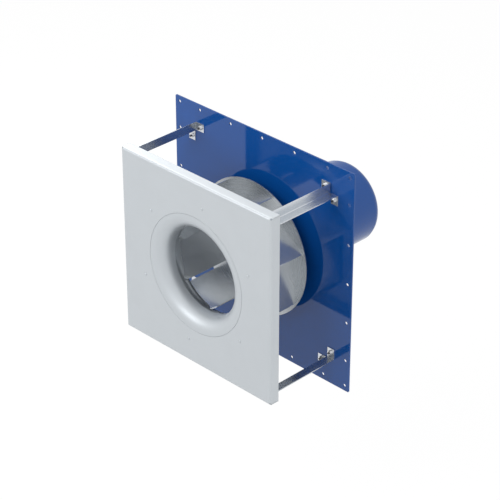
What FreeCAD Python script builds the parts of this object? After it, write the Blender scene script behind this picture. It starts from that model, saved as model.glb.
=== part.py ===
"""Plug fan: a free-running centrifugal fan with an inlet plate, a wall plate and a hooded motor.

Millimetres. X points right as seen from the inlet, Y from the inlet to the motor, Z up.
The origin is the centre of the wall plate's back face, on the shaft's axis.
Angles are counted from +X towards +Z, as seen from the inlet.
"""
import FreeCAD, Part
import math
import os

# Wall plate: a square sheet with a row of screw holes along each side
wall_hole_span = 800.0
wall_hole_margin = 20.0
wall_first_gap = 100.0
wall_middle_gap_count = 4
wall_hole_diameter = 12.0
wall_thickness = 5.0
wall_corner_radius = 4.0

# Inlet plate: a square tray, its rim folded back
inlet_width = 708.0
inlet_sheet = 2.0
inlet_rim_depth = 40.0
inlet_bend_radius = 8.0
inlet_relief_radius = 3.5
inlet_relief_length = 20.0
inlet_corner_slit = 0.8

# Inlet nozzle: spun sheet, flush in the inlet plate and riveted behind it
throat_radius = 162.0
nozzle_mouth_radius = 48.0
nozzle_land = 12.0
nozzle_sheet = 2.0
nozzle_throat_length = 12.0
nozzle_seam_gap = 0.9
nozzle_rivet_offset = 47.0
nozzle_rivet_edge = 15.0
nozzle_rivet_count = 6
nozzle_rivet_first_angle = 22.0
rivet_hole_radius = 2.6
rivet_fit = 0.1
rivet_head_radius = 5.5
rivet_head_height = 2.0
rivet_tail_radius = 4.2
rivet_tail_length = 3.0

# Struts: four folded angles that carry the inlet plate
strut_length = 312.0
strut_leg = 35.0
strut_sheet = 2.5
strut_bend_radius = 2.5
strut_side_gap = 1.0
strut_tab = 38.0
strut_stud_inset = 22.0
strut_notch_margin = 0.5
strut_corner_relief = 8.0

# Weld studs, washers and nuts of the struts
stud_radius = 4.0
stud_hole_radius = 4.5
stud_washer_radius = 8.0
stud_washer_thickness = 1.6
stud_nut_flats = 13.0
stud_nut_height = 6.5
stud_end = 3.0
thread_fit = 0.05

# Impeller: back disc, shroud and backward-curved blades
impeller_radius = 254.0
disc_thickness = 3.0
shroud_sheet = 2.5
shroud_gap = 3.5
shroud_overlap = 6.0
shroud_lip = 13.0
shroud_bend_radius = 50.0
shroud_cone_angle = 12.0
blade_count = 7
blade_sheet = 3.0
blade_first_angle = 15.8
blade_sweep_angle = 49.3
blade_leading_radius = 165.0
blade_arc_radius = 303.0
blade_tip_inset = 7.0
blade_nose_depth = 31.0
blade_nose_slant = 10.0
weld_gap = 0.2

# Impeller hub, its bolts and the shaft-end fixing
hub_clearance = 4.0
hub_length = 36.5
hub_boss_radius = 30.0
hub_flange_radius = 62.0
hub_flange_thickness = 8.0
hub_nose = 2.0
hub_register_fit = 0.1
hub_bolt_circle = 48.0
hub_bolt_count = 6
hub_bolt_radius = 4.0
hub_bolt_flats = 13.0
hub_bolt_head = 5.3
hub_nut_height = 6.5
hub_bolt_end = 2.5
end_washer_radius = 22.0
end_washer_thickness = 4.0
end_bolt_radius = 5.0
end_bolt_flats = 17.0
end_bolt_head = 6.4
end_bolt_depth = 22.0

# Motor shaft, key, bearings and rotor
shaft_radius = 14.0
shaft_extension = 60.0
shaft_bearing_radius = 15.0
shaft_core_radius = 19.0
shaft_fit = 0.05
key_width = 8.0
key_height = 7.0
key_seat = 4.0
key_length = 40.0
key_end = 5.0
key_top_gap = 0.3
bearing_outer_radius = 31.0
bearing_width = 16.0
bearing_race = 4.5
bearing_gap = 0.3
bearing_shoulder = 1.5
rotor_radius = 63.0
rotor_length = 150.0
air_gap = 0.5

# Motor housing
motor_flange_radius = 125.0
motor_flange_thickness = 11.0
motor_spigot_radius = 90.0
motor_spigot_depth = 4.0
motor_spigot_fit = 0.2
motor_bolt_circle = 107.5
motor_bolt_radius = 6.0
motor_bolt_hole_radius = 7.25
motor_bolt_flats = 18.0
motor_bolt_head = 7.5
motor_washer_radius = 12.0
motor_washer_thickness = 2.5
motor_nut_height = 10.8
motor_bolt_end = 4.0
shield_depth = 25.0
shield_wall = 6.0
bearing_seat = 14.0
bearing_housing_wall = 7.0
housing_wall = 5.0
housing_length = 225.0
housing_fin_height = 6.0
housing_fin_thickness = 3.0
housing_fin_count = 30
housing_fin_free_angle = 38.0
stator_depth = 27.0
winding_overhang = 22.0
winding_inset = 3.0
rear_shield_depth = 26.0
shield_screw_radius = 3.0
shield_screw_head_radius = 5.0
shield_screw_head = 4.0
shield_screw_count = 4
seal_radius = 24.0
seal_thickness = 7.0
seal_gap = 0.3

# Terminal box on the motor
box_length = 92.0
box_width = 76.0
box_height = 30.0
box_wall = 4.0
box_corner_radius = 8.0
box_pad = 3.0
box_centre = 130.0
box_lid_thickness = 4.0
box_screw_radius = 2.0
box_screw_head_radius = 4.0
box_screw_head = 2.4

# Motor cooling fan and its cowl
fan_radius = 84.0
fan_hub_radius = 22.0
fan_hub_length = 22.0
fan_vane_count = 6
fan_vane_thickness = 2.5
fan_disc_thickness = 2.5
fan_shaft_gap = 8.0
cowl_sheet = 1.5
cowl_fit = 0.3
cowl_overlap = 12.0
cowl_length = 72.0
cowl_hole_radius = 7.0
cowl_ring_radii = (26.0, 48.0, 70.0)
cowl_ring_counts = (6, 10, 14)
cowl_screw_count = 3
cowl_screw_first_angle = 30.0
cowl_screw_radius = 2.0
cowl_screw_head_radius = 3.8
cowl_screw_head = 2.2
cowl_screw_depth = 7.0

# Motor hood, its base ring and its end cover
hood_radius = 153.0
hood_sheet = 1.5
hood_length = 414.0
ring_flange_width = 20.0
ring_sheet = 3.0
ring_collar = 22.0
ring_fit = 0.4
ring_screw_count = 8
ring_screw_first_angle = 22.5
ring_screw_radius = 3.0
ring_screw_length = 12.0
ring_nut_flats = 10.0
ring_nut_height = 5.0
hood_screw_count = 4
hood_screw_first_angle = 45.0
hood_screw_radius = 2.5
hood_screw_head_radius = 4.5
hood_screw_head = 3.0
hood_screw_length = 8.0
cover_fit = 0.3
cover_skirt = 20.0
cover_edge_radius = 28.0
cover_vent_inner = 45.0
cover_vent_outer = 96.0
cover_vent_width = 8.0
cover_vent_count = 18
lug_width = 24.0
lug_sheet = 3.0
lug_skirt_gap = 4.0
lug_wall_length = 30.0
lug_foot = 23.0
lug_inset = 1.2
lug_wall_gap = 0.2
lug_angles = (45.0, 135.0, 225.0, 315.0)
cover_screw_radius = 3.0
cover_screw_head_radius = 5.5
cover_screw_head = 3.3
cover_screw_length = 12.0

# Cable gland in the hood's underside
gland_place = 70.0
gland_thread_radius = 12.5
gland_bore_radius = 8.0
gland_flats = 30.0
gland_body_length = 9.0
gland_cap_radius = 14.0
gland_cap_length = 16.0
gland_cap_bore = 7.0
gland_thread_length = 12.0
gland_nut_flats = 32.0
gland_nut_thickness = 5.0
gland_seat_gap = 0.1

# Stations along the shaft
wall_front = -wall_thickness
inlet_back = wall_front - strut_length
inlet_front = inlet_back - inlet_sheet
nozzle_end = inlet_front + nozzle_mouth_radius + nozzle_throat_length
shroud_start = nozzle_end - shroud_overlap
hub_back = -motor_spigot_depth - hub_clearance
disc_back = hub_back - hub_length
disc_front = disc_back - disc_thickness
hub_front = -shaft_extension - hub_nose
bearing_front = bearing_seat
bearing_rear = shield_depth + housing_length + rear_shield_depth - bearing_width - shield_wall
rotor_middle = shield_depth + housing_length / 2
shaft_rear = shield_depth + housing_length + rear_shield_depth + fan_shaft_gap + fan_hub_length
cover_back = hood_length + cover_edge_radius

# Radii and offsets that follow from the sizes above
wall_half = wall_hole_span / 2 + wall_hole_margin
inlet_half = inlet_width / 2
seam_radius = throat_radius + nozzle_mouth_radius + nozzle_land
rivet_circle = seam_radius + nozzle_rivet_offset
nozzle_flange_radius = rivet_circle + nozzle_rivet_edge
eye_radius = throat_radius + nozzle_sheet + shroud_gap
strut_corner = inlet_half - inlet_sheet - strut_side_gap - strut_leg
housing_outer = motor_spigot_radius + housing_wall
housing_inner = motor_spigot_radius
hood_inner = hood_radius - hood_sheet
blade_tip_radius = impeller_radius - blade_tip_inset

spin_axis = FreeCAD.Vector(0, -1, 0)
origin = FreeCAD.Vector(0, 0, 0)


def point(x, y, z=0.0):
    return FreeCAD.Vector(x, y, z)


def turned(shape, angle):
    """A copy turned about the shaft's axis."""
    copy = shape.copy()
    copy.rotate(origin, spin_axis, angle)
    return copy


def moved(shape, x=0.0, y=0.0, z=0.0):
    copy = shape.copy()
    copy.translate(point(x, y, z))
    return copy


def even_angles(count, first=0.0):
    return [first + 360.0 * index / count for index in range(count)]


def around(shape, angles):
    """Separate copies of one piece, turned to each angle."""
    return Part.makeCompound([turned(shape, angle) for angle in angles])


def cylinder(radius, start, end):
    """A cylinder along the shaft's axis between two stations."""
    return Part.makeCylinder(radius, end - start, point(0, start), point(0, 1))


def ring(outer, inner, start, end):
    return cylinder(outer, start, end).cut(cylinder(inner, start, end))


def hexagon(flats, start, end):
    """A hexagonal prism along the shaft's axis."""
    radius = flats / math.sqrt(3.0)
    corners = []
    for angle in even_angles(6):
        turn = math.radians(angle)
        corners.append(point(radius * math.cos(turn), start, radius * math.sin(turn)))
    face = Part.Face(Part.makePolygon(corners + corners[:1]))
    return face.extrude(point(0, end - start))


def rounded_outline(corners, radii):
    """A closed wire through the corners, each rounded by a tangent arc of its own radius."""
    edges = []
    starts = []
    ends = []
    count = len(corners)
    for index in range(count):
        corner = corners[index]
        before = (corners[index - 1] - corner).normalize()
        after = (corners[(index + 1) % count] - corner).normalize()
        radius = radii[index]
        if radius == 0:
            starts.append(corner)
            ends.append(corner)
            edges.append(None)
            continue
        half = before.getAngle(after) / 2
        reach = radius / math.tan(half)
        middle = (before + after).normalize() * (radius / math.sin(half) - radius)
        starts.append(corner + before * reach)
        ends.append(corner + after * reach)
        edges.append(Part.Arc(starts[-1], corner + middle, ends[-1]).toShape())
    outline = []
    for index in range(count):
        if edges[index] is not None:
            outline.append(edges[index])
        following = starts[(index + 1) % count]
        if (following - ends[index]).Length > 1e-6:
            outline.append(Part.makeLine(ends[index], following))
    return Part.Wire(outline)


def prism(corners, radii, along):
    return Part.Face(rounded_outline(corners, radii)).extrude(along)


def square_plate(half, radius, start, end):
    corners = [point(-half, start, -half), point(half, start, -half),
               point(half, start, half), point(-half, start, half)]
    return prism(corners, [radius] * 4, point(0, end - start))


def block(x_range, y_range, z_range):
    size = [high - low for low, high in (x_range, y_range, z_range)]
    return Part.makeBox(size[0], size[1], size[2], point(x_range[0], y_range[0], z_range[0]))


def revolved(outline):
    """A full turn of a closed outline drawn with X as the radius and Y along the shaft."""
    return Part.Face(outline).revolve(origin, point(0, 1), 360)


def straight_outline(corners):
    vectors = [point(radius, station) for radius, station in corners]
    return Part.makePolygon(vectors + vectors[:1])


def wall_hole_places():
    """The screw holes' centres: seven along each side, the first gap shorter than the rest."""
    half = wall_hole_span / 2
    inner = half - wall_first_gap
    line = [-half]
    for index in range(wall_middle_gap_count + 1):
        line.append(-inner + 2 * inner * index / wall_middle_gap_count)
    line.append(half)
    places = []
    for along in line:
        places.append((along, half))
        places.append((along, -half))
    for along in line[1:-1]:
        places.append((half, along))
        places.append((-half, along))
    return places


def strut_stud_places():
    """The studs of the top right strut: one for each of its two tabs."""
    across = strut_corner - strut_stud_inset
    along = strut_corner + (strut_sheet + strut_leg) / 2
    return [(across, along), (along, across)]


def all_stud_places():
    places = []
    for x, z in strut_stud_places():
        for side in (-1, 1):
            for height in (-1, 1):
                places.append((side * x, height * z))
    return places


def at_studs(shape):
    return Part.makeCompound([moved(shape, x=x, z=z) for x, z in all_stud_places()])


def wall_plate():
    plate = square_plate(wall_half, wall_corner_radius, wall_front, 0.0)
    cuts = [cylinder(motor_spigot_radius + motor_spigot_fit, wall_front, 0.0)]
    hole = cylinder(wall_hole_diameter / 2, wall_front, 0.0)
    for x, z in wall_hole_places():
        cuts.append(moved(hole, x=x, z=z))
    bolt_hole = moved(cylinder(motor_bolt_hole_radius, wall_front, 0.0), x=motor_bolt_circle)
    for angle in even_angles(4, 45.0):
        cuts.append(turned(bolt_hole, angle))
    return plate.cut(Part.makeCompound(cuts))


def tray_block(half, bend, start, end):
    """A square block whose four front edges are rounded."""
    solid = square_plate(half, 0, start, end)
    front = [edge for edge in solid.Edges
             if abs(edge.BoundBox.YMax - start) < 1e-6 and abs(edge.BoundBox.YMin - start) < 1e-6]
    return solid.makeFillet(bend, front)


def tray_corner_cuts(side, height):
    """The relief notch in one corner of the tray, and the slit at the end of its side flange."""
    direction = point(-side, 1, -height)
    corner = point(side * inlet_half, inlet_front, height * inlet_half)
    start = corner - direction * (inlet_bend_radius / 2)
    notch = Part.makeCylinder(inlet_relief_radius, inlet_relief_length, start, direction)
    flange_inside = inlet_half - inlet_sheet
    slit = block(ordered(side * flange_inside, side * inlet_half),
                 (inlet_front, inlet_front + inlet_rim_depth),
                 ordered(height * (flange_inside - inlet_corner_slit), height * flange_inside))
    return [notch, slit]


def inlet_plate():
    outer = tray_block(inlet_half, inlet_bend_radius, inlet_front, inlet_front + inlet_rim_depth)
    inner = tray_block(inlet_half - inlet_sheet, inlet_bend_radius - inlet_sheet,
                       inlet_back, inlet_front + inlet_rim_depth)
    tray = outer.cut(inner)
    cuts = [cylinder(seam_radius, inlet_front, inlet_back)]
    rivet_hole = moved(cylinder(rivet_hole_radius, inlet_front, inlet_back), x=rivet_circle)
    for angle in even_angles(nozzle_rivet_count, nozzle_rivet_first_angle):
        cuts.append(turned(rivet_hole, angle))
    for side in (-1, 1):
        for height in (-1, 1):
            cuts.extend(tray_corner_cuts(side, height))
    return tray.cut(Part.makeCompound(cuts))


def inlet_nozzle():
    mouth_edge = throat_radius + nozzle_mouth_radius
    mouth_end = inlet_front + nozzle_mouth_radius
    half_turn = math.sqrt(0.5)
    back_radius = nozzle_mouth_radius - nozzle_sheet
    rim_radius = seam_radius - nozzle_seam_gap
    flange_back = inlet_back + nozzle_sheet
    front_arc = Part.Arc(point(throat_radius, mouth_end),
                         point(mouth_edge - nozzle_mouth_radius * half_turn,
                               mouth_end - nozzle_mouth_radius * half_turn),
                         point(mouth_edge, inlet_front)).toShape()
    back_arc = Part.Arc(point(mouth_edge, inlet_front + nozzle_sheet),
                        point(mouth_edge - back_radius * half_turn, mouth_end - back_radius * half_turn),
                        point(throat_radius + nozzle_sheet, mouth_end)).toShape()
    rim = [point(mouth_edge, inlet_front), point(rim_radius, inlet_front),
           point(rim_radius, inlet_back), point(nozzle_flange_radius, inlet_back),
           point(nozzle_flange_radius, flange_back),
           point(mouth_edge + nozzle_land / 2, flange_back),
           point(mouth_edge, inlet_front + nozzle_sheet)]
    throat = [point(throat_radius + nozzle_sheet, mouth_end),
              point(throat_radius + nozzle_sheet, nozzle_end),
              point(throat_radius, nozzle_end), point(throat_radius, mouth_end)]
    outline = Part.Wire([front_arc] + Part.makePolygon(rim).Edges
                        + [back_arc] + Part.makePolygon(throat).Edges)
    nozzle = revolved(outline)
    rivet_hole = moved(cylinder(rivet_hole_radius, inlet_back, flange_back), x=rivet_circle)
    return nozzle.cut(around(rivet_hole, even_angles(nozzle_rivet_count, nozzle_rivet_first_angle)))


def nozzle_rivets():
    """Blind rivets with low domed heads."""
    flange_back = inlet_back + nozzle_sheet
    tail_end = flange_back + rivet_tail_length
    shank = rivet_hole_radius - rivet_fit
    crown = inlet_front - rivet_head_height
    corners = [(0.0, crown), (rivet_head_radius * 0.55, crown),
               (rivet_head_radius, inlet_front - rivet_head_height * 0.35), (rivet_head_radius, inlet_front),
               (shank, inlet_front), (shank, flange_back), (rivet_tail_radius, flange_back),
               (rivet_tail_radius, tail_end), (0.0, tail_end)]
    rivet = moved(revolved(straight_outline(corners)), x=rivet_circle)
    return around(rivet, even_angles(nozzle_rivet_count, nozzle_rivet_first_angle))


def strut_top_right():
    """A folded angle, its corner towards the shaft, with two tabs bent inward at each end."""
    inner = strut_bend_radius
    outer = strut_bend_radius + strut_sheet
    corner = strut_corner
    face = corner + strut_sheet
    tip = corner + strut_leg
    side = corner + strut_sheet + inner
    tab_end = corner - strut_tab
    back = wall_front
    front = inlet_back
    leg_corners = [(tab_end, front), (face, front), (face, back), (tab_end, back),
                   (tab_end, back - strut_sheet), (corner, back - strut_sheet),
                   (corner, front + strut_sheet), (tab_end, front + strut_sheet)]
    radii = [0, outer, outer, 0, 0, inner, inner, 0]
    upright = prism([point(a, b, side) for a, b in leg_corners], radii, point(0, 0, tip - side))
    level = prism([point(side, b, a) for a, b in leg_corners], radii, point(tip - side, 0, 0))
    start = front + strut_corner_relief
    end = back - strut_corner_relief
    bend_corners = [point(corner, start, corner), point(side, start, corner), point(side, start, face),
                    point(face, start, face), point(face, start, side), point(corner, start, side)]
    bend = prism(bend_corners, [outer, 0, 0, inner, 0, 0], point(0, end - start, 0))
    strut = upright.fuse([level, bend]).removeSplitter()
    hole_rear = cylinder(stud_hole_radius, back - strut_sheet, back)
    hole_front = cylinder(stud_hole_radius, front, front + strut_sheet)
    holes = []
    for x, z in strut_stud_places():
        holes.append(moved(hole_rear, x=x, z=z))
        holes.append(moved(hole_front, x=x, z=z))
    flat_end = inlet_half - inlet_bend_radius - strut_notch_margin
    notch_end = front + inlet_bend_radius
    holes.append(block((tab_end, tip), (front, notch_end), (flat_end, tip)))
    holes.append(block((flat_end, tip), (front, notch_end), (tab_end, tip)))
    return strut.cut(Part.makeCompound(holes))


def mirrored(shape, sideways, upward):
    """The same piece on the other side of the shaft."""
    copy = shape.copy()
    if sideways:
        copy = copy.mirror(origin, point(1, 0, 0))
    if upward:
        copy = copy.mirror(origin, point(0, 0, 1))
    return copy


def stud_stack(face, direction):
    """Stations of one strut fixing: tab, washer, nut and stud end, outward from a plate's face."""
    tab = face + direction * strut_sheet
    washer = tab + direction * stud_washer_thickness
    nut = washer + direction * stud_nut_height
    return tab, washer, nut, nut + direction * stud_end


def ordered(first, second):
    return min(first, second), max(first, second)


def at_both_plates(make):
    """One piece of the strut fixings at every stud of the wall plate and of the inlet plate."""
    solids = []
    for face, direction in ((wall_front, -1), (inlet_back, 1)):
        solids.extend(at_studs(make(face, direction)).Solids)
    return Part.makeCompound(solids)


def strut_stud(face, direction):
    end = stud_stack(face, direction)[3]
    return cylinder(stud_radius, *ordered(face, end))


def strut_washer(face, direction):
    tab, washer = stud_stack(face, direction)[:2]
    return ring(stud_washer_radius, stud_hole_radius, *ordered(tab, washer))


def strut_nut(face, direction):
    washer, nut = stud_stack(face, direction)[1:3]
    stations = ordered(washer, nut)
    return hexagon(stud_nut_flats, *stations).cut(cylinder(stud_radius + thread_fit, *stations))


def shroud_points(offset):
    """Points of the shroud's sheet, moved outward from its inner face by the offset."""
    cone = math.radians(90.0 - shroud_cone_angle)
    bend_start = shroud_start + shroud_lip
    centre = eye_radius + shroud_bend_radius
    radius = shroud_bend_radius - offset
    middle = cone / 2
    lip = point(eye_radius + offset, shroud_start)
    start = point(centre - radius, bend_start)
    halfway = point(centre - radius * math.cos(middle), bend_start + radius * math.sin(middle))
    end = point(centre - radius * math.cos(cone), bend_start + radius * math.sin(cone))
    slope = 1 / math.tan(cone)
    edge = point(impeller_radius, end.y + (impeller_radius - end.x) * slope)
    return lip, start, halfway, end, edge


def impeller_shroud():
    inner = shroud_points(0.0)
    outer = shroud_points(shroud_sheet)
    # The sheet lies on the inlet side of its inner face, so its outer face has the smaller bend
    lines = [Part.makeLine(inner[0], inner[1]), Part.Arc(inner[1], inner[2], inner[3]).toShape(),
             Part.makeLine(inner[3], inner[4]), Part.makeLine(inner[4], outer[4]),
             Part.makeLine(outer[4], outer[3]), Part.Arc(outer[3], outer[2], outer[1]).toShape(),
             Part.makeLine(outer[1], outer[0]), Part.makeLine(outer[0], inner[0])]
    return revolved(Part.Wire(lines))


def blade_space():
    """The room for the blades between the disc and the shroud, as a ring around the shaft."""
    lip, start, halfway, end, edge = shroud_points(-weld_gap)
    nose = start.y + blade_nose_depth
    slope = (edge.y - end.y) / (edge.x - end.x)
    tip = point(blade_tip_radius, end.y + (blade_tip_radius - end.x) * slope)
    hollow = blade_leading_radius / 2
    corners = [point(hollow, start.y), start]
    upper = Part.Wire(Part.makePolygon(corners).Edges
                      + [Part.Arc(start, halfway, end).toShape()]
                      + Part.makePolygon([end, tip, point(blade_tip_radius, disc_front),
                                          point(hollow, disc_front), point(hollow, start.y)]).Edges)
    whole = revolved(upper)
    nose_reach = (nose - shroud_start) * math.tan(math.radians(blade_nose_slant))
    nose_cut = revolved(straight_outline([(0.0, shroud_start), (blade_leading_radius + nose_reach, shroud_start),
                                          (blade_leading_radius, nose), (0.0, nose)]))
    return whole.cut(nose_cut)


def polar(radius, angle, station=0.0):
    turn = math.radians(angle)
    return point(radius * math.cos(turn), station, radius * math.sin(turn))


def impeller_blade():
    """A backward-curved blade, one arc from its leading edge to its trailing edge."""
    outer_end = polar(blade_tip_radius, blade_first_angle, shroud_start)
    inner_end = polar(blade_leading_radius, blade_first_angle + blade_sweep_angle, shroud_start)
    chord = outer_end - inner_end
    outward = chord.cross(point(0, 1)).normalize()
    if outward.dot(outer_end + inner_end) < 0:
        outward = outward * -1
    reach = math.sqrt(blade_arc_radius ** 2 - (chord.Length / 2) ** 2)
    centre = (outer_end + inner_end) * 0.5 - outward * reach
    centre.y = shroud_start
    half_turn = math.asin(chord.Length / 2 / blade_arc_radius)
    along = chord.normalize()
    edges = []
    corners = []
    for radius in (blade_arc_radius + blade_sheet / 2, blade_arc_radius - blade_sheet / 2):
        ends = [centre + outward * radius * math.cos(half_turn) + along * radius * math.sin(turn)
                for turn in (-half_turn, half_turn)]
        corners.append(ends)
        edges.append(Part.Arc(ends[0], centre + outward * radius, ends[1]).toShape())
    for side in (0, 1):
        edges.append(Part.makeLine(corners[0][side], corners[1][side]))
    outline = Part.Wire(Part.__sortEdges__(edges))
    sheet = Part.Face(outline).extrude(point(0, disc_front - shroud_start))
    return sheet.common(blade_space())


def impeller_back_disc():
    cuts = [cylinder(hub_boss_radius + hub_register_fit, disc_front, disc_back)]
    hole = moved(cylinder(hub_bolt_radius + rivet_fit, disc_front, disc_back), x=hub_bolt_circle)
    for angle in even_angles(hub_bolt_count):
        cuts.append(turned(hole, angle))
    return cylinder(impeller_radius, disc_front, disc_back).cut(Part.makeCompound(cuts))


def shaft_key():
    low = shaft_radius - key_seat
    rear = hub_back - key_end
    return block((-key_width / 2, key_width / 2), (rear - key_length, rear), (low, low + key_height))


def impeller_hub():
    boss = cylinder(hub_boss_radius, hub_front, hub_back)
    flange = cylinder(hub_flange_radius, disc_back, disc_back + hub_flange_thickness)
    body = boss.fuse(flange).removeSplitter()
    hole = moved(cylinder(hub_bolt_radius + rivet_fit, disc_back, disc_back + hub_flange_thickness),
                 x=hub_bolt_circle)
    keyway = block((-key_width / 2, key_width / 2), (hub_front, hub_back),
                   (shaft_radius / 2, shaft_radius - key_seat + key_height + key_top_gap))
    bore = cylinder(shaft_radius + shaft_fit, hub_front, hub_back)
    return body.cut([bore, keyway, around(hole, even_angles(hub_bolt_count))])


def hub_bolts():
    nut_end = disc_back + hub_flange_thickness + hub_nut_height
    head = hexagon(hub_bolt_flats, disc_front - hub_bolt_head, disc_front)
    shank = cylinder(hub_bolt_radius, disc_front, nut_end + hub_bolt_end)
    return around(moved(head.fuse(shank), x=hub_bolt_circle), even_angles(hub_bolt_count))


def hub_nuts():
    start = disc_back + hub_flange_thickness
    end = start + hub_nut_height
    nut = hexagon(hub_bolt_flats, start, end).cut(cylinder(hub_bolt_radius + thread_fit, start, end))
    return around(moved(nut, x=hub_bolt_circle), even_angles(hub_bolt_count))


def shaft_end_washer():
    return ring(end_washer_radius, end_bolt_radius + rivet_fit, hub_front - end_washer_thickness, hub_front)


def shaft_end_bolt():
    seat = hub_front - end_washer_thickness
    head = hexagon(end_bolt_flats, seat - end_bolt_head, seat)
    return head.fuse(cylinder(end_bolt_radius, seat, -shaft_extension + end_bolt_depth))


def motor_shaft():
    """The stepped shaft: fan end, bearing seat, rotor seat, bearing seat and cooling fan end."""
    core_start = bearing_front + bearing_width
    shaft = cylinder(shaft_radius, -shaft_extension, bearing_front)
    steps = [cylinder(shaft_bearing_radius, bearing_front, core_start),
             cylinder(shaft_core_radius, core_start, bearing_rear),
             cylinder(shaft_bearing_radius, bearing_rear, bearing_rear + bearing_width),
             cylinder(shaft_radius, bearing_rear + bearing_width, shaft_rear)]
    body = shaft.fuse(steps)
    thread = cylinder(end_bolt_radius + thread_fit, -shaft_extension, -shaft_extension + end_bolt_depth)
    return body.cut([shaft_key(), thread])


def rotor_core():
    half = rotor_length / 2
    return ring(rotor_radius, shaft_core_radius + shaft_fit, rotor_middle - half, rotor_middle + half)


def at_bearings(outer, inner):
    """A ring of each of the motor's two bearings."""
    return Part.makeCompound([ring(outer, inner, start, start + bearing_width)
                              for start in (bearing_front, bearing_rear)])


def bearing_inner_rings():
    return at_bearings(shaft_bearing_radius + bearing_race, shaft_bearing_radius + shaft_fit)


def bearing_outer_rings():
    return at_bearings(bearing_outer_radius, shaft_bearing_radius + bearing_race + bearing_gap)


def motor_drive_shield():
    """The front end shield with its mounting flange, spigot and bearing seat."""
    bearing_wall = bearing_outer_radius + bearing_housing_wall
    seat_end = bearing_front + bearing_width
    corners = [(seal_radius + shaft_fit, -motor_spigot_depth), (motor_spigot_radius, -motor_spigot_depth),
               (motor_spigot_radius, 0.0), (motor_flange_radius, 0.0),
               (motor_flange_radius, motor_flange_thickness), (housing_outer, motor_flange_thickness),
               (housing_outer, shield_depth), (housing_inner - shield_wall, shield_depth),
               (housing_inner - shield_wall, motor_flange_thickness), (bearing_wall, motor_flange_thickness),
               (bearing_wall, seat_end), (bearing_outer_radius + shaft_fit, seat_end),
               (bearing_outer_radius + shaft_fit, bearing_front), (seal_radius + shaft_fit, bearing_front)]
    shield = revolved(straight_outline(corners))
    hole = moved(cylinder(motor_bolt_hole_radius, 0.0, motor_flange_thickness), x=motor_bolt_circle)
    return shield.cut(around(hole, even_angles(4, 45.0)))


def shaft_seal():
    inner = shaft_radius + seal_gap
    return ring(seal_radius, inner, bearing_front - seal_thickness - bearing_gap, bearing_front - bearing_gap)


def motor_bolt_stack():
    nut_start = motor_flange_thickness + motor_washer_thickness
    return nut_start, nut_start + motor_nut_height


def motor_flange_bolts():
    nut_end = motor_bolt_stack()[1]
    head = hexagon(motor_bolt_flats, wall_front - motor_bolt_head, wall_front)
    bolt = head.fuse(cylinder(motor_bolt_radius, wall_front, nut_end + motor_bolt_end))
    return around(moved(bolt, x=motor_bolt_circle), even_angles(4, 45.0))


def motor_flange_washers():
    washer = ring(motor_washer_radius, motor_bolt_radius + rivet_fit, motor_flange_thickness,
                  motor_flange_thickness + motor_washer_thickness)
    return around(moved(washer, x=motor_bolt_circle), even_angles(4, 45.0))


def motor_flange_nuts():
    start, end = motor_bolt_stack()
    nut = hexagon(motor_bolt_flats, start, end).cut(cylinder(motor_bolt_radius + thread_fit, start, end))
    return around(moved(nut, x=motor_bolt_circle), even_angles(4, 45.0))


def box_half_width():
    return box_width / 2


def box_base():
    """Height of the terminal box's seat above the shaft's axis."""
    return housing_outer + housing_fin_height + box_pad


def motor_housing():
    end = shield_depth + housing_length
    tube = cylinder(housing_outer, shield_depth, end)
    fin = block((housing_inner + shield_wall / 2, housing_outer + housing_fin_height),
                (shield_depth, end), (-housing_fin_thickness / 2, housing_fin_thickness / 2))
    fins = []
    for angle in even_angles(housing_fin_count):
        if abs(angle - 90.0) > housing_fin_free_angle:
            fins.append(turned(fin, angle))
    half_width = box_half_width() - box_corner_radius
    half_length = box_length / 2 - box_corner_radius
    pad = block((-half_width, half_width), (box_centre - half_length, box_centre + half_length),
                (housing_inner / 2, box_base()))
    body = tube.fuse(fins + [pad]).removeSplitter()
    return body.cut(cylinder(housing_inner, shield_depth, end))


def stator_core():
    half = rotor_length / 2
    return ring(housing_inner - shaft_fit, rotor_radius + air_gap, rotor_middle - half, rotor_middle + half)


def stator_windings():
    inner = rotor_radius + air_gap + winding_inset
    outer = housing_inner - 2 * winding_inset
    half = rotor_length / 2
    front = ring(outer, inner, rotor_middle - half - winding_overhang, rotor_middle - half)
    rear = ring(outer, inner, rotor_middle + half, rotor_middle + half + winding_overhang)
    return Part.makeCompound([front, rear])


def motor_rear_shield():
    start = shield_depth + housing_length
    end = start + rear_shield_depth
    inside = end - shield_wall
    bearing_wall = bearing_outer_radius + bearing_housing_wall
    bore = shaft_bearing_radius + bearing_race + bearing_shoulder
    corners = [(housing_outer, start), (housing_outer, end), (bore, end), (bore, inside),
               (bearing_outer_radius + shaft_fit, inside), (bearing_outer_radius + shaft_fit, bearing_rear),
               (bearing_wall, bearing_rear), (bearing_wall, inside), (housing_inner - shield_wall, inside),
               (housing_inner - shield_wall, start)]
    shield = revolved(straight_outline(corners))
    return shield.cut(cowl_screw_set(cowl_screw_radius + thread_fit, housing_outer - cowl_screw_depth))


def rear_shield_screws():
    end = shield_depth + housing_length + rear_shield_depth
    head = cylinder(shield_screw_head_radius, end, end + shield_screw_head)
    place = housing_inner - shield_screw_head_radius - shield_wall
    return around(moved(head, x=place), even_angles(shield_screw_count, 45.0))


def box_outline(half_width, half_length, radius, height, rise):
    corners = [point(-half_width, box_centre - half_length, height),
               point(half_width, box_centre - half_length, height),
               point(half_width, box_centre + half_length, height),
               point(-half_width, box_centre + half_length, height)]
    return prism(corners, [radius] * 4, point(0, 0, rise))


def terminal_box():
    base = box_base()
    outer = box_outline(box_half_width(), box_length / 2, box_corner_radius, base, box_height)
    inner = box_outline(box_half_width() - box_wall, box_length / 2 - box_wall,
                        box_corner_radius - box_wall, base + box_wall, box_height)
    return outer.cut(inner)


def terminal_box_lid():
    return box_outline(box_half_width(), box_length / 2, box_corner_radius,
                       box_base() + box_height, box_lid_thickness)


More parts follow.
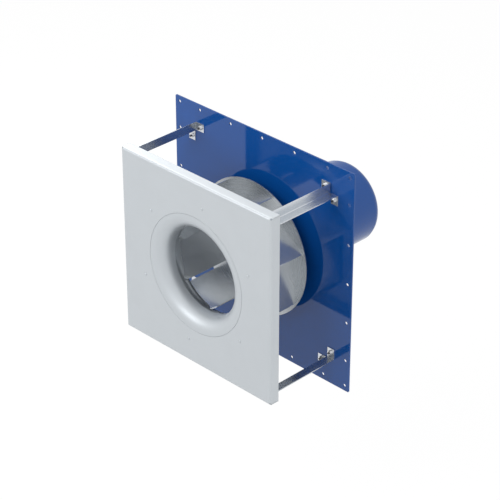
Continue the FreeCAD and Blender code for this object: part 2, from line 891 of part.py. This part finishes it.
def lid_screws():
    top = box_base() + box_height + box_lid_thickness
    head = Part.makeCylinder(box_screw_head_radius, box_screw_head, point(0, box_centre, top))
    screws = []
    for side in (-1, 1):
        for end in (-1, 1):
            screws.append(moved(head, x=side * (box_half_width() - box_corner_radius),
                                y=end * (box_length / 2 - box_corner_radius)))
    return Part.makeCompound(screws)


def motor_cooling_fan():
    start = shaft_rear - fan_hub_length
    hub = cylinder(fan_hub_radius, start, shaft_rear)
    web = cylinder(fan_radius, start, start + fan_disc_thickness)
    vane = block((fan_hub_radius / 2, fan_radius), (start, shaft_rear),
                 (-fan_vane_thickness / 2, fan_vane_thickness / 2))
    body = hub.fuse([web] + [turned(vane, angle) for angle in even_angles(fan_vane_count)])
    return body.cut(cylinder(shaft_radius + shaft_fit, start, shaft_rear)).removeSplitter()


def cowl_start():
    return shield_depth + housing_length + rear_shield_depth - cowl_overlap


def cowl_screw_set(radius, start):
    """Radial pins through the cowl at its screws, from the given distance to the cowl's outside."""
    outside = housing_outer + cowl_fit + cowl_sheet
    pin = Part.makeCylinder(radius, outside - start, point(start, cowl_start() + cowl_overlap / 2), point(1, 0))
    return around(pin, even_angles(cowl_screw_count, cowl_screw_first_angle))


def cowl_screws():
    outside = housing_outer + cowl_fit + cowl_sheet
    station = cowl_start() + cowl_overlap / 2
    start = housing_outer - cowl_screw_depth
    shank = Part.makeCylinder(cowl_screw_radius, outside - start, point(start, station), point(1, 0))
    head = Part.makeCylinder(cowl_screw_head_radius, cowl_screw_head, point(outside, station), point(1, 0))
    return around(shank.fuse(head), even_angles(cowl_screw_count, cowl_screw_first_angle))


def motor_fan_cowl():
    """The perforated cover over the cooling fan, pushed onto the motor's rear end."""
    start = cowl_start()
    end = start + cowl_length
    inner = housing_outer + cowl_fit
    cup = cylinder(inner + cowl_sheet, start, end).cut(cylinder(inner, start, end - cowl_sheet))
    holes = [cowl_screw_set(cowl_screw_radius + rivet_fit, housing_outer - cowl_screw_depth)]
    for radius, count in zip(cowl_ring_radii, cowl_ring_counts):
        hole = moved(cylinder(cowl_hole_radius, end - cowl_sheet, end), x=radius)
        holes.extend(turned(hole, angle) for angle in even_angles(count))
    return cup.cut(Part.makeCompound(holes))


def hood_base_ring():
    """An angle ring on the wall plate's back that carries the hood."""
    bore = hood_radius + ring_fit
    corners = [(bore, 0.0), (bore + ring_sheet + ring_flange_width, 0.0),
               (bore + ring_sheet + ring_flange_width, ring_sheet), (bore + ring_sheet, ring_sheet),
               (bore + ring_sheet, ring_collar), (bore, ring_collar)]
    body = revolved(straight_outline(corners))
    stud_hole = moved(cylinder(ring_screw_radius + rivet_fit, 0.0, ring_sheet), x=ring_stud_circle())
    cuts = [turned(stud_hole, angle) for angle in even_angles(ring_screw_count, ring_screw_first_angle)]
    for angle in even_angles(hood_screw_count, hood_screw_first_angle):
        cuts.append(turned(radial_pin(hood_screw_radius + rivet_fit, bore, bore + ring_sheet), angle))
    return body.cut(Part.makeCompound(cuts))


def ring_stud_circle():
    return hood_radius + ring_fit + ring_sheet + ring_flange_width / 2


def radial_pin(radius, start, end):
    """A cylinder pointing outward from the shaft's axis, at the height of the hood's screws."""
    station = (ring_sheet + ring_collar) / 2
    return Part.makeCylinder(radius, end - start, point(start, station), point(1, 0))


def hood_studs():
    stud = moved(cylinder(ring_screw_radius, 0.0, ring_screw_length), x=ring_stud_circle())
    return around(stud, even_angles(ring_screw_count, ring_screw_first_angle))


def hood_nuts():
    start = ring_sheet
    end = start + ring_nut_height
    nut = hexagon(ring_nut_flats, start, end).cut(cylinder(ring_screw_radius + thread_fit, start, end))
    return around(moved(nut, x=ring_stud_circle()), even_angles(ring_screw_count, ring_screw_first_angle))


def hood_screws():
    seat = hood_radius + ring_fit + ring_sheet
    head = radial_pin(hood_screw_head_radius, seat, seat + hood_screw_head)
    shank = radial_pin(hood_screw_radius, seat - hood_screw_length, seat)
    return around(head.fuse(shank), even_angles(hood_screw_count, hood_screw_first_angle))


def motor_hood():
    tube = ring(hood_radius, hood_inner, 0.0, hood_length)
    cuts = [Part.makeCylinder(gland_thread_radius + rivet_fit, 4 * hood_sheet,
                              point(0, gland_place, -hood_radius - hood_sheet), point(0, 0, 1))]
    for angle in even_angles(hood_screw_count, hood_screw_first_angle):
        cuts.append(turned(radial_pin(hood_screw_radius + rivet_fit, hood_inner - hood_sheet,
                                      hood_radius + hood_sheet), angle))
    return tube.cut(Part.makeCompound(cuts))


def hood_end_cover():
    """A pressed cover set inside the hood, with a rounded edge and a ring of vent slots."""
    outer = hood_inner - cover_fit
    bend = cover_edge_radius
    half_turn = math.sqrt(0.5)
    centre = outer - bend
    inner_bend = bend - hood_sheet
    skirt_start = hood_length - cover_skirt
    face = cover_back - hood_sheet
    outer_arc = Part.Arc(point(outer, hood_length),
                         point(centre + bend * half_turn, hood_length + bend * half_turn),
                         point(centre, cover_back)).toShape()
    inner_arc = Part.Arc(point(centre, face),
                         point(centre + inner_bend * half_turn, hood_length + inner_bend * half_turn),
                         point(outer - hood_sheet, hood_length)).toShape()
    skirt = Part.makePolygon([point(outer - hood_sheet, hood_length), point(outer - hood_sheet, skirt_start),
                              point(outer, skirt_start), point(outer, hood_length)])
    top = Part.makePolygon([point(centre, cover_back), point(0, cover_back), point(0, face),
                            point(centre, face)])
    cover = revolved(Part.Wire([outer_arc] + top.Edges + [inner_arc] + skirt.Edges))
    slot = slot_cut(cover_vent_inner, cover_vent_outer, cover_vent_width, face, cover_back)
    cuts = [turned(slot, angle) for angle in even_angles(cover_vent_count, 180.0 / cover_vent_count)]
    screw_hole = moved(cylinder(cover_screw_radius + rivet_fit, face, cover_back), x=lug_screw_radius())
    cuts.extend(turned(screw_hole, angle) for angle in lug_angles)
    return cover.cut(Part.makeCompound(cuts))


def slot_cut(inner, outer, width, start, end):
    """A slot with round ends, along a radius."""
    half = width / 2
    corners = [point(inner, start, -half), point(outer, start, -half),
               point(outer, start, half), point(inner, start, half)]
    limit = half * 0.98
    return prism(corners, [limit] * 4, point(0, end - start))


def lug_pillar_radius():
    """Outer face of a lug's upright, just inside the flat part of the cover."""
    return hood_inner - cover_fit - cover_edge_radius - lug_inset


def lug_screw_radius():
    return lug_pillar_radius() - lug_sheet / 2 - lug_foot / 2


def hood_lugs():
    """Stepped brackets welded inside the hood that take the cover's screws."""
    face = cover_back - hood_sheet
    step = hood_length - cover_skirt - lug_skirt_gap
    lug_wall_start = step - lug_wall_length
    wall = hood_radius
    pillar = lug_pillar_radius()
    leg = hood_inner - lug_sheet - lug_wall_gap
    corners = [(wall, lug_wall_start), (wall, step), (pillar, step), (pillar, face),
               (pillar - lug_foot, face), (pillar - lug_foot, face - lug_sheet),
               (pillar - lug_sheet, face - lug_sheet), (pillar - lug_sheet, step - lug_sheet),
               (leg, step - lug_sheet), (leg, lug_wall_start)]
    outline = [point(radius, station, -lug_width / 2) for radius, station in corners]
    lug = prism(outline, [0] * len(outline), point(0, 0, lug_width))
    lug = lug.common(cylinder(hood_inner - lug_wall_gap, 0.0, cover_back))
    hole = moved(cylinder(cover_screw_radius + thread_fit, face - lug_sheet, face), x=lug_screw_radius())
    return around(lug.cut(hole), lug_angles)


def cover_screws():
    head = cylinder(cover_screw_head_radius, cover_back, cover_back + cover_screw_head)
    shank = cylinder(cover_screw_radius, cover_back - cover_screw_length, cover_back)
    return around(moved(head.fuse(shank), x=lug_screw_radius()), lug_angles)


def gland_solid(profile, start, end):
    """A piece of the gland between two distances below the shaft's axis."""
    flats, radius = profile
    if flats:
        solid = hexagon(flats, start, end)
    else:
        solid = cylinder(radius, start, end)
    solid.rotate(origin, point(1, 0, 0), -90)
    return moved(solid, y=gland_place)


def gland_seat():
    """Distance from the axis to the gland's shoulder, where it meets the round hood."""
    return hood_radius + gland_seat_gap


def cable_gland_body():
    seat = gland_seat()
    shoulder = gland_solid((gland_flats, 0), seat, seat + gland_body_length)
    thread = gland_solid((0, gland_thread_radius), seat - gland_thread_length, seat)
    bore = gland_solid((0, gland_bore_radius), seat - gland_thread_length, seat + gland_body_length)
    return shoulder.fuse(thread).cut(bore)


def cable_gland_cap():
    start = gland_seat() + gland_body_length
    end = start + gland_cap_length
    return gland_solid((0, gland_cap_radius), start, end).cut(gland_solid((0, gland_cap_bore), start, end))


def cable_gland_nut():
    corner = gland_nut_flats / math.sqrt(3.0)
    end = math.sqrt(hood_inner ** 2 - corner ** 2) - gland_seat_gap
    start = end - gland_nut_thickness
    nut = gland_solid((gland_nut_flats, 0), start, end)
    return nut.cut(gland_solid((0, gland_thread_radius + thread_fit), start, end))


def all_nodes():
    """Every piece by name."""
    strut = strut_top_right()
    nodes = {
        "wall_plate": wall_plate(),
        "inlet_plate": inlet_plate(),
        "inlet_nozzle": inlet_nozzle(),
        "nozzle_rivets": nozzle_rivets(),
        "strut_top_right": strut,
        "strut_top_left": mirrored(strut, True, False),
        "strut_bottom_right": mirrored(strut, False, True),
        "strut_bottom_left": mirrored(strut, True, True),
        "strut_studs": at_both_plates(strut_stud),
        "strut_washers": at_both_plates(strut_washer),
        "strut_nuts": at_both_plates(strut_nut),
        "impeller_shroud": impeller_shroud(),
        "impeller_back_disc": impeller_back_disc(),
        "impeller_hub": impeller_hub(),
        "hub_bolts": hub_bolts(),
        "hub_nuts": hub_nuts(),
        "shaft_key": shaft_key(),
        "shaft_end_washer": shaft_end_washer(),
        "shaft_end_bolt": shaft_end_bolt(),
        "motor_shaft": motor_shaft(),
        "rotor_core": rotor_core(),
        "bearing_inner_rings": bearing_inner_rings(),
        "bearing_outer_rings": bearing_outer_rings(),
        "motor_drive_shield": motor_drive_shield(),
        "shaft_seal": shaft_seal(),
        "motor_flange_bolts": motor_flange_bolts(),
        "motor_flange_washers": motor_flange_washers(),
        "motor_flange_nuts": motor_flange_nuts(),
        "motor_housing": motor_housing(),
        "stator_core": stator_core(),
        "stator_windings": stator_windings(),
        "motor_rear_shield": motor_rear_shield(),
        "rear_shield_screws": rear_shield_screws(),
        "terminal_box": terminal_box(),
        "terminal_box_lid": terminal_box_lid(),
        "lid_screws": lid_screws(),
        "motor_cooling_fan": motor_cooling_fan(),
        "motor_fan_cowl": motor_fan_cowl(),
        "cowl_screws": cowl_screws(),
        "hood_base_ring": hood_base_ring(),
        "hood_studs": hood_studs(),
        "hood_nuts": hood_nuts(),
        "hood_screws": hood_screws(),
        "motor_hood": motor_hood(),
        "hood_end_cover": hood_end_cover(),
        "hood_lugs": hood_lugs(),
        "cover_screws": cover_screws(),
        "cable_gland_body": cable_gland_body(),
        "cable_gland_cap": cable_gland_cap(),
        "cable_gland_nut": cable_gland_nut(),
    }
    blade = impeller_blade()
    for number, angle in enumerate(even_angles(blade_count), 1):
        nodes["impeller_blade_" + str(number)] = turned(blade, angle)
    return nodes


os.makedirs("parts", exist_ok=True)
for name, shape in all_nodes().items():
    shape.exportStep("parts/" + name + ".step")
    print(name, len(shape.Solids), "solids", round(shape.Volume / 1000.0, 1), "cm3", shape.isValid())
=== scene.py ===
"""The centrifugal fan's looks: surface materials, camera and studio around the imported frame."""
import math

import bpy
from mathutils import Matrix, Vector

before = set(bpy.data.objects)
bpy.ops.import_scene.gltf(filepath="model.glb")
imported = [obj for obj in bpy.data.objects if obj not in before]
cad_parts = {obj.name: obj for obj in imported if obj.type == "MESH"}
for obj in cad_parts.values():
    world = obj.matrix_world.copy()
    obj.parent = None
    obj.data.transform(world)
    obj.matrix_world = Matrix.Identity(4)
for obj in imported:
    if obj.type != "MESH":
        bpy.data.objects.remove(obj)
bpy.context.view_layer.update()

# Camera, as solved from the photograph
camera_place = Vector((4.1438, -4.1865, 3.3740))
camera_azimuth = 45.12
camera_elevation = 30.04
camera_lens = 142.3
camera_sensor = 36.0

# Light and studio, in metres and watts
world_strength = 0.52
lamp_size = 3.0
front_lamp_size = 1.9
key_power = 80.0
key_place = Vector((-0.2, -2.9, 3.4))
side_power = 56.0
side_place = Vector((4.4, -0.4, 1.0))
front_power = 34.0
front_place = Vector((-1.9, -3.8, 1.6))
back_power = 59.0
back_place = Vector((-3.4, 0.9, 2.8))
floor_height = -1.1
floor_size = 60.0
floor_colour = (0.6, 0.6, 0.6)
floor_roughness = 0.9
floor_shadow_share = 0.12
floor_glow = 1.07

# Colours, linear
plate_colour = (0.57, 0.605, 0.635)
blue_paint_colour = (0.003, 0.074, 0.318)
paint_specular = 0.44
impeller_colour = (0.64, 0.665, 0.685)
disc_colour = (0.50, 0.525, 0.55)
# painted shade: darker than the blades' own metal, so the shroud's lip inside the nozzle's throat stays dark
# as if in shadow
shaded_shroud_colour = (0.44, 0.46, 0.48)
nozzle_colour = (0.565, 0.60, 0.63)
galvanised_colour = (0.66, 0.69, 0.725)
zinc_colour = (0.80, 0.80, 0.81)
steel_colour = (0.55, 0.55, 0.56)
dark_steel_colour = (0.10, 0.10, 0.11)
cast_aluminium_colour = (0.50, 0.51, 0.52)
casting_paint_colour = (0.055, 0.065, 0.075)
lamination_colour = (0.20, 0.20, 0.21)
copper_colour = (0.62, 0.27, 0.10)
rubber_colour = (0.020, 0.020, 0.021)
plastic_colour = (0.030, 0.030, 0.032)
nickel_colour = (0.66, 0.63, 0.57)

# Surface detail: grain in lines per metre along each axis, and the range that a noise mostly keeps to
plate_grain = (8.0, 8.0, 300.0)
blade_grain = (15.0, 250.0, 15.0)
strut_grain = (300.0, 8.0, 300.0)
lamination_grain = (1.0, 1500.0, 1.0)
noise_low = 0.3
noise_high = 0.7
bevel_samples = 4


def link(tree, source, target):
    tree.links.new(source, target)


def new_material(name, colour, metallic, roughness):
    """A material with a principled shader, whose uniform values sit on its own sockets."""
    material = bpy.data.materials.new(name)
    material.use_nodes = True
    shader = material.node_tree.nodes["Principled BSDF"]
    shader.inputs["Base Color"].default_value = (*colour, 1.0)
    shader.inputs["Metallic"].default_value = metallic
    shader.inputs["Roughness"].default_value = roughness
    return material, material.node_tree, shader


def object_coordinates(tree):
    return tree.nodes.new("ShaderNodeTexCoord").outputs["Object"]


def math_node(tree, operation, first, second=None):
    node = tree.nodes.new("ShaderNodeMath")
    node.operation = operation
    for socket, value in zip(node.inputs, (first, second)):
        if value is None:
            continue
        if isinstance(value, (int, float)):
            socket.default_value = value
        else:
            link(tree, value, socket)
    return node.outputs[0]


def scaled_coordinates(tree, scale):
    """Object coordinates stretched along each axis, for grain that runs one way."""
    mapping = tree.nodes.new("ShaderNodeMapping")
    mapping.inputs["Scale"].default_value = scale
    link(tree, object_coordinates(tree), mapping.inputs["Vector"])
    return mapping.outputs["Vector"]


def turned_coordinates(tree, radial, around, along):
    """Coordinates that follow turning or spinning marks about the shaft's axis."""
    split = tree.nodes.new("ShaderNodeSeparateXYZ")
    link(tree, object_coordinates(tree), split.inputs[0])
    squares = math_node(tree, "ADD", math_node(tree, "MULTIPLY", split.outputs[0], split.outputs[0]),
                        math_node(tree, "MULTIPLY", split.outputs[2], split.outputs[2]))
    radius = math_node(tree, "SQRT", squares)
    angle = math_node(tree, "ARCTAN2", split.outputs[2], split.outputs[0])
    joined = tree.nodes.new("ShaderNodeCombineXYZ")
    link(tree, math_node(tree, "MULTIPLY", radius, radial), joined.inputs[0])
    link(tree, math_node(tree, "MULTIPLY", angle, around), joined.inputs[1])
    link(tree, math_node(tree, "MULTIPLY", split.outputs[1], along), joined.inputs[2])
    return joined.outputs[0]


def noise(tree, vector, scale, detail=3.0):
    node = tree.nodes.new("ShaderNodeTexNoise")
    node.inputs["Scale"].default_value = scale
    node.inputs["Detail"].default_value = detail
    link(tree, vector, node.inputs["Vector"])
    return node.outputs["Fac"]


def between(tree, factor, low, high):
    """Maps the range that a noise mostly keeps to onto a range of values."""
    node = tree.nodes.new("ShaderNodeMapRange")
    node.inputs["From Min"].default_value = noise_low
    node.inputs["From Max"].default_value = noise_high
    node.inputs["To Min"].default_value = low
    node.inputs["To Max"].default_value = high
    link(tree, factor, node.inputs["Value"])
    return node.outputs["Result"]


def shade_variation(tree, shader, factor, colour, spread):
    """Lets the base colour wander a little lighter and darker."""
    mix = tree.nodes.new("ShaderNodeMix")
    mix.data_type = "RGBA"
    mix.inputs["A"].default_value = (*[channel * (1 - spread) for channel in colour], 1.0)
    mix.inputs["B"].default_value = (*[min(1.0, channel * (1 + spread)) for channel in colour], 1.0)
    link(tree, factor, mix.inputs["Factor"])
    link(tree, mix.outputs["Result"], shader.inputs["Base Color"])


def relief(tree, shader, height, distance, edge_radius=0.0):
    """Fine surface relief, on top of edges softened to a small radius."""
    bump = tree.nodes.new("ShaderNodeBump")
    bump.inputs["Strength"].default_value = 1.0
    bump.inputs["Distance"].default_value = distance
    link(tree, height, bump.inputs["Height"])
    if edge_radius:
        bevel = tree.nodes.new("ShaderNodeBevel")
        bevel.samples = bevel_samples
        bevel.inputs["Radius"].default_value = edge_radius
        link(tree, bevel.outputs["Normal"], bump.inputs["Normal"])
    link(tree, bump.outputs["Normal"], shader.inputs["Normal"])


def paint(name, colour, roughness, peel_distance, edge_radius):
    """Sprayed paint with a faint orange peel and a slight change of gloss."""
    material, tree, shader = new_material(name, colour, 0.0, roughness)
    shader.inputs["Specular IOR Level"].default_value = paint_specular
    place = object_coordinates(tree)
    patches = noise(tree, place, 9.0)
    link(tree, between(tree, patches, roughness * 0.85, roughness * 1.15), shader.inputs["Roughness"])
    shade_variation(tree, shader, patches, colour, 0.02)
    relief(tree, shader, noise(tree, place, 320.0, 1.0), peel_distance, edge_radius)
    return material


def rolled_metal(name, colour, metallic, roughness, grain, scratch_distance, edge_radius=0.0):
    """Sheet metal with a rolling grain along one axis, its zinc or oxide skin dulling it a little."""
    material, tree, shader = new_material(name, colour, metallic, roughness)
    lines = noise(tree, scaled_coordinates(tree, grain), 1.0, 4.0)
    patches = noise(tree, object_coordinates(tree), 14.0)
    link(tree, between(tree, lines, roughness * 0.97, roughness * 1.04), shader.inputs["Roughness"])
    shade_variation(tree, shader, patches, colour, 0.025)
    relief(tree, shader, lines, scratch_distance, edge_radius)
    return material


def turned_metal(name, colour, metallic, roughness, scratch_distance, edge_radius=0.0):
    """Spun or turned metal, its marks running round the shaft."""
    material, tree, shader = new_material(name, colour, metallic, roughness)
    lines = noise(tree, turned_coordinates(tree, 900.0, 2.0, 900.0), 1.0, 3.0)
    link(tree, between(tree, lines, roughness * 0.94, roughness * 1.06), shader.inputs["Roughness"])
    shade_variation(tree, shader, lines, colour, 0.015)
    relief(tree, shader, lines, scratch_distance, edge_radius)
    return material


def cast_surface(name, colour, metallic, roughness):
    """A cast surface with a sandy texture."""
    material, tree, shader = new_material(name, colour, metallic, roughness)
    grains = noise(tree, object_coordinates(tree), 500.0)
    shade_variation(tree, shader, grains, colour, 0.12)
    relief(tree, shader, grains, 0.0003, 0.001)
    return material


def laminations(name, colour):
    """Stacked sheets across the shaft's axis."""
    material, tree, shader = new_material(name, colour, 0.8, 0.45)
    sheets = noise(tree, scaled_coordinates(tree, lamination_grain), 1.0, 1.0)
    shade_variation(tree, shader, sheets, colour, 0.3)
    relief(tree, shader, sheets, 0.0002)
    return material


def windings(name, colour):
    """Enamelled wire laid round the stator's ends."""
    material, tree, shader = new_material(name, colour, 0.6, 0.35)
    turns = noise(tree, turned_coordinates(tree, 700.0, 8.0, 700.0), 1.0, 2.0)
    shade_variation(tree, shader, turns, colour, 0.3)
    relief(tree, shader, turns, 0.0006)
    return material


def moulded(name, colour, roughness):
    material, tree, shader = new_material(name, colour, 0.0, roughness)
    grains = noise(tree, object_coordinates(tree), 600.0)
    shade_variation(tree, shader, grains, colour, 0.1)
    relief(tree, shader, grains, 0.0001, 0.0008)
    return material


plate_metal = rolled_metal("plate_metal", plate_colour, metallic=0.55, roughness=0.36, grain=plate_grain,
                           scratch_distance=0.000004, edge_radius=0.0008)
blue_paint = paint("blue_paint", blue_paint_colour, roughness=0.05, peel_distance=0.000002,
                   edge_radius=0.0010)
impeller_metal = rolled_metal("impeller_metal", impeller_colour, metallic=0.84, roughness=0.25,
                              grain=blade_grain, scratch_distance=0.0000001)
disc_metal = turned_metal("disc_metal", disc_colour, metallic=0.88, roughness=0.27,
                          scratch_distance=0.0000002, edge_radius=0.0005)
# The shroud gets a darker copy of the blades' metal: painted shade on its lip inside the throat
shaded_shroud_metal = turned_metal("shaded_shroud_metal", shaded_shroud_colour, metallic=1.0, roughness=0.30,
                            scratch_distance=0.0000002, edge_radius=0.0005)
nozzle_metal = turned_metal("nozzle_metal", nozzle_colour, metallic=0.70, roughness=0.46,
                            scratch_distance=0.0000005, edge_radius=0.0008)
galvanised = rolled_metal("galvanised", galvanised_colour, metallic=0.93, roughness=0.25, grain=strut_grain,
                          scratch_distance=0.0000012, edge_radius=0.0006)
zinc = turned_metal("zinc", zinc_colour, metallic=1.0, roughness=0.20,
                    scratch_distance=0.00002, edge_radius=0.0004)
steel = turned_metal("steel", steel_colour, metallic=1.0, roughness=0.25,
                     scratch_distance=0.00002, edge_radius=0.0004)
dark_steel = turned_metal("dark_steel", dark_steel_colour, metallic=1.0, roughness=0.35,
                          scratch_distance=0.00002, edge_radius=0.0004)
nickel = turned_metal("nickel", nickel_colour, metallic=1.0, roughness=0.25,
                      scratch_distance=0.00002, edge_radius=0.0005)
cast_aluminium = cast_surface("cast_aluminium", cast_aluminium_colour, metallic=0.9, roughness=0.50)
casting_paint = cast_surface("casting_paint", casting_paint_colour, metallic=0.0, roughness=0.45)
lamination = laminations("lamination", lamination_colour)
copper = windings("copper", copper_colour)
rubber = moulded("rubber", rubber_colour, roughness=0.7)
plastic = moulded("plastic", plastic_colour, roughness=0.45)

looks = {
    plate_metal: ["inlet_plate"],
    nozzle_metal: ["inlet_nozzle", "nozzle_rivets"],
    blue_paint: ["wall_plate", "motor_hood", "hood_end_cover", "hood_base_ring"],
    impeller_metal: ["impeller_blade_" + str(number) for number in range(1, 8)],
    disc_metal: ["impeller_back_disc"],
    shaded_shroud_metal: ["impeller_shroud"],
    galvanised: ["strut_top_left", "strut_top_right", "strut_bottom_left", "strut_bottom_right", "hood_lugs"],
    zinc: ["strut_washers", "strut_nuts", "hub_bolts", "hub_nuts", "shaft_end_washer", "shaft_end_bolt",
           "motor_flange_bolts", "motor_flange_washers", "motor_flange_nuts", "rear_shield_screws",
           "lid_screws", "cowl_screws", "hood_nuts", "hood_screws", "cover_screws"],
    dark_steel: ["strut_studs", "hood_studs"],
    steel: ["motor_shaft", "shaft_key", "bearing_inner_rings", "bearing_outer_rings"],
    cast_aluminium: ["motor_housing", "terminal_box", "terminal_box_lid"],
    casting_paint: ["motor_drive_shield", "motor_rear_shield", "impeller_hub", "motor_fan_cowl"],
    lamination: ["stator_core", "rotor_core"],
    copper: ["stator_windings"],
    rubber: ["shaft_seal"],
    plastic: ["motor_cooling_fan"],
    nickel: ["cable_gland_body", "cable_gland_cap", "cable_gland_nut"],
}
for material, names in looks.items():
    for name in names:
        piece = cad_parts[name]
        for slot in piece.material_slots:
            slot.material = material


def add_camera():
    data = bpy.data.cameras.new("camera")
    data.lens = camera_lens
    data.sensor_width = camera_sensor
    data.clip_end = 200.0
    camera = bpy.data.objects.new("camera", data)
    camera.location = camera_place
    azimuth = math.radians(camera_azimuth)
    elevation = math.radians(camera_elevation)
    direction = Vector((-math.sin(azimuth) * math.cos(elevation),
                        math.cos(azimuth) * math.cos(elevation), -math.sin(elevation)))
    camera.rotation_euler = direction.to_track_quat("-Z", "Y").to_euler()
    bpy.context.scene.collection.objects.link(camera)
    bpy.context.scene.camera = camera


def add_light(name, place, power, mirrored, size=lamp_size):
    """A soft lamp aimed at the fan, which shows in the metal and the paint where it is mirrored."""
    data = bpy.data.lights.new(name, "AREA")
    data.shape = "SQUARE"
    data.size = size
    data.energy = power
    light = bpy.data.objects.new(name, data)
    light.location = place
    light.rotation_euler = (Vector((0.0, 0.0, 0.0)) - place).to_track_quat("-Z", "Y").to_euler()
    light.visible_glossy = mirrored
    bpy.context.scene.collection.objects.link(light)


def seen_directly(tree):
    """1 for rays that show the surroundings themselves: camera, glossy and transmission rays."""
    path = tree.nodes.new("ShaderNodeLightPath")
    shiny = math_node(tree, "MAXIMUM", path.outputs["Is Glossy Ray"], path.outputs["Is Transmission Ray"])
    return math_node(tree, "MAXIMUM", path.outputs["Is Camera Ray"], shiny)


def add_world():
    world = bpy.data.worlds.new("studio")
    world.use_nodes = True
    tree = world.node_tree
    background = tree.nodes["Background"]
    background.inputs["Color"].default_value = (1.0, 1.0, 1.0, 1.0)
    white = 1.0
    strength = math_node(tree, "MULTIPLY_ADD", seen_directly(tree), white - world_strength)
    strength.node.inputs[2].default_value = world_strength
    link(tree, strength, background.inputs["Strength"])
    bpy.context.scene.world = world


def add_floor():
    """A pale floor well below the fan, nearly white, that keeps a faint shadow."""
    half = floor_size / 2
    mesh = bpy.data.meshes.new("floor")
    corners = [(-half, -half, floor_height), (half, -half, floor_height),
               (half, half, floor_height), (-half, half, floor_height)]
    mesh.from_pydata(corners, [], [(0, 1, 2, 3)])
    floor = bpy.data.objects.new("floor", mesh)
    bpy.context.scene.collection.objects.link(floor)
    material, tree, shader = new_material("floor_white", floor_colour, 0.0, floor_roughness)
    shader.inputs["Specular IOR Level"].default_value = 0.0
    glow = tree.nodes.new("ShaderNodeEmission")
    glow.inputs["Strength"].default_value = floor_glow
    mix = tree.nodes.new("ShaderNodeMixShader")
    share = math_node(tree, "MULTIPLY", seen_directly(tree), 1.0 - floor_shadow_share)
    link(tree, share, mix.inputs[0])
    link(tree, shader.outputs[0], mix.inputs[1])
    link(tree, glow.outputs[0], mix.inputs[2])
    link(tree, mix.outputs[0], tree.nodes["Material Output"].inputs["Surface"])
    mesh.materials.append(material)


add_camera()
add_light("key", key_place, key_power, False)
add_light("side", side_place, side_power, False)
add_light("front", front_place, front_power, True, front_lamp_size)
add_light("back", back_place, back_power, True)
add_world()
add_floor()
bpy.context.scene.view_settings.view_transform = "Standard"
